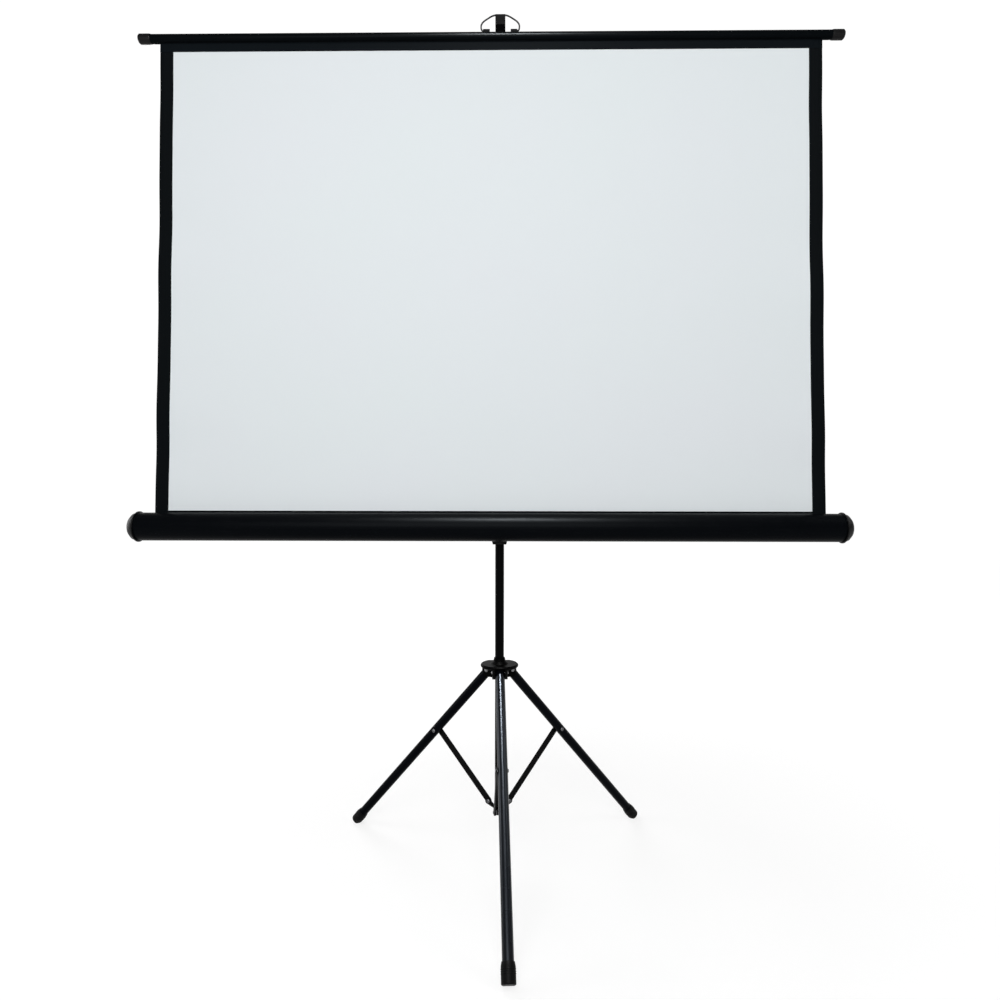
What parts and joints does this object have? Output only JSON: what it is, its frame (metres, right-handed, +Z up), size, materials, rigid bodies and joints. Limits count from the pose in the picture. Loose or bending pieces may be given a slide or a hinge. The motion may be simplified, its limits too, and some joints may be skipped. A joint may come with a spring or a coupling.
{
  "type": "tripod projector screen",
  "caption": "Free-standing roller projection screen: white cloth with black borders drawn from a tubular case and hooked on a telescopic pole with a folding tripod.",
  "frame": {"origin": "on the floor, in the middle of the whole screen's footprint in plan: the middle of the screen in x", "axes": "+Z up, +X to the viewer's right along the top bar, -Y towards the viewer, who looks at the white side"},
  "size_m": [1.8936, 0.7772, 2.2959],
  "materials": {
    "satin_black": "satin black enamel on steel tube, slightly blue-grey where the light catches it",
    "hub_black": "semi-gloss black enamel on a cast hub",
    "case_paint": "satin black enamel with a faint blue cast",
    "black_plastic": "black moulded plastic, fine satin texture",
    "black_rubber": "matte black rubber",
    "rivet_steel": "zinc-plated steel",
    "roller_steel": "bare galvanised steel tube",
    "spring_steel": "oiled spring steel",
    "bail_wire": "dark coated steel wire",
    "screen_cloth": "matte white projection cloth with printed black borders"
  },
  "bodies": {
    "pole": {"main_tube": "satin_black", "pole_plug": "black_plastic", "pole_collar": "black_plastic", "lower_bracket": "satin_black", "bracket_rivet_1": "rivet_steel", "bracket_rivet_2": "rivet_steel", "bracket_rivet_3": "rivet_steel"},
    "hub": {"leg_hub": "hub_black", "hub_pin_1": "rivet_steel", "hub_pin_2": "rivet_steel", "hub_pin_3": "rivet_steel"},
    "hub_lock": {"hub_lock_knob": "black_plastic"},
    "leg_1": {"leg_tube_1": "satin_black", "foot_cap_1": "black_rubber", "leg_rivet_1": "rivet_steel"},
    "leg_2": {"leg_tube_2": "satin_black", "foot_cap_2": "black_rubber", "leg_rivet_2": "rivet_steel"},
    "leg_3": {"leg_tube_3": "satin_black", "foot_cap_3": "black_rubber", "leg_rivet_3": "rivet_steel"},
    "strut_a": {"strut_1": "satin_black", "strut_rivet_1": "rivet_steel"},
    "strut_b": {"strut_2": "satin_black", "strut_rivet_2": "rivet_steel"},
    "strut_c": {"strut_3": "satin_black", "strut_rivet_3": "rivet_steel"},
    "slider": {"case_slider": "black_plastic", "pivot_bolt": "rivet_steel", "trigger_pin": "rivet_steel", "trigger_spring": "spring_steel"},
    "trigger": {"case_trigger": "black_plastic"},
    "case": {"case_saddle": "satin_black", "saddle_rivet_1": "rivet_steel", "saddle_rivet_2": "rivet_steel", "case_housing": "case_paint", "case_end_cap_left": "black_plastic", "case_end_cap_right": "black_plastic", "spring_spindle": "rivet_steel", "roller_spring": "spring_steel", "screen_fabric": "screen_cloth"},
    "roller": {"roller_tube": "roller_steel", "roller_plug_left": "black_plastic", "roller_plug_right": "black_plastic", "fabric_roll": "screen_cloth"},
    "bar": {"top_bar": "case_paint", "bar_cap_left": "black_plastic", "bar_cap_right": "black_plastic", "bail_clip_left": "satin_black", "bail_clip_right": "satin_black"},
    "bail": {"hook_bail": "bail_wire"},
    "extension": {"extension_tube": "satin_black", "extension_bush": "black_plastic", "hook_head": "black_plastic", "head_rivet": "rivet_steel"},
    "extension_lock": {"extension_lock_knob": "black_plastic"}
  },
  "joints": [
    {"name": "hub_slide", "type": "slide", "parent": "pole", "child": "hub", "axis": [0, 0, 1], "range_m": [0, 0.1318]},
    {"name": "leg_1_fold", "type": "hinge", "parent": "hub", "child": "leg_1", "pos_m": [0.03057, 0.0791, 0.5127], "axis": [0.9986, 0.0523, 0], "range_deg": [0, 38.1]},
    {"name": "leg_2_fold", "type": "hinge", "parent": "hub", "child": "leg_2", "pos_m": [0.05416, 0.1254, 0.5127], "axis": [-0.5446, 0.8387, 0], "range_deg": [0, 38.1]},
    {"name": "leg_3_fold", "type": "hinge", "parent": "hub", "child": "leg_3", "pos_m": [0.00227, 0.12268, 0.5127], "axis": [-0.454, -0.891, 0], "range_deg": [0, 38.1]},
    {"name": "strut_1_swing", "type": "hinge", "parent": "pole", "child": "strut_a", "pos_m": [0.03109, 0.06911, 0.147], "axis": [0.9986, 0.0523, 0], "range_deg": [-41.7, 0]},
    {"name": "strut_2_swing", "type": "hinge", "parent": "pole", "child": "strut_b", "pos_m": [0.06255, 0.13085, 0.147], "axis": [-0.5446, 0.8387, 0], "range_deg": [-41.7, 0]},
    {"name": "strut_3_swing", "type": "hinge", "parent": "pole", "child": "strut_c", "pos_m": [-0.00664, 0.12722, 0.147], "axis": [-0.454, -0.891, 0], "range_deg": [-41.7, 0]},
    {"name": "hub_lock_turn", "type": "hinge", "parent": "hub", "child": "hub_lock", "pos_m": [0.029, 0.10906, 0.5127], "axis": [-0.0523, 0.9986, 0], "range_deg": [0, 180]},
    {"name": "case_height", "type": "slide", "parent": "pole", "child": "slider", "axis": [0, 0, 1], "range_m": [-0.1, 0.1]},
    {"name": "trigger_press", "type": "hinge", "parent": "slider", "child": "trigger", "pos_m": [0.029, 0.13306, 0.924], "axis": [1, 0, 0], "range_deg": [0, 11.5], "stiffness_Nm_per_rad": 0.4, "springref_deg": -5.73},
    {"name": "case_swing", "type": "hinge", "parent": "slider", "child": "case", "pos_m": [0.029, 0.03706, 0.902], "axis": [0, 1, 0], "range_deg": [0, 77]},
    {"name": "screen_lower", "type": "slide", "parent": "case", "child": "bar", "axis": [0, 0, -1], "range_m": [0, 0.84], "deforming": ["screen_fabric"]},
    {"name": "extension_slide", "type": "slide", "parent": "slider", "child": "extension", "axis": [0, 0, -1], "range_m": [0, 0.84]},
    {"name": "roller_spin", "type": "hinge", "parent": "case", "child": "roller", "pos_m": [0, 0.03706, 0.902], "axis": [1, 0, 0], "range_deg": [-2835, 0]},
    {"name": "bail_swing", "type": "hinge", "parent": "bar", "child": "bail", "pos_m": [0.029, 0.05476, 2.233], "axis": [1, 0, 0], "range_deg": [0, 110]},
    {"name": "extension_lock_turn", "type": "hinge", "parent": "pole", "child": "extension_lock", "pos_m": [0.029, 0.10906, 1.283], "axis": [0, 1, 0], "range_deg": [0, 180]}
  ],
  "couplings": [
    {"joint": "leg_1_fold", "follows": "hub_slide", "rad_per_m": 5.0401},
    {"joint": "leg_2_fold", "follows": "hub_slide", "rad_per_m": 5.0401},
    {"joint": "leg_3_fold", "follows": "hub_slide", "rad_per_m": 5.0401},
    {"joint": "strut_1_swing", "follows": "hub_slide", "rad_per_m": -5.5076},
    {"joint": "strut_2_swing", "follows": "hub_slide", "rad_per_m": -5.5076},
    {"joint": "strut_3_swing", "follows": "hub_slide", "rad_per_m": -5.5076},
    {"joint": "extension_slide", "follows": "screen_lower", "ratio": 1},
    {"joint": "roller_spin", "follows": "screen_lower", "rad_per_m": -58.824}
  ]
}
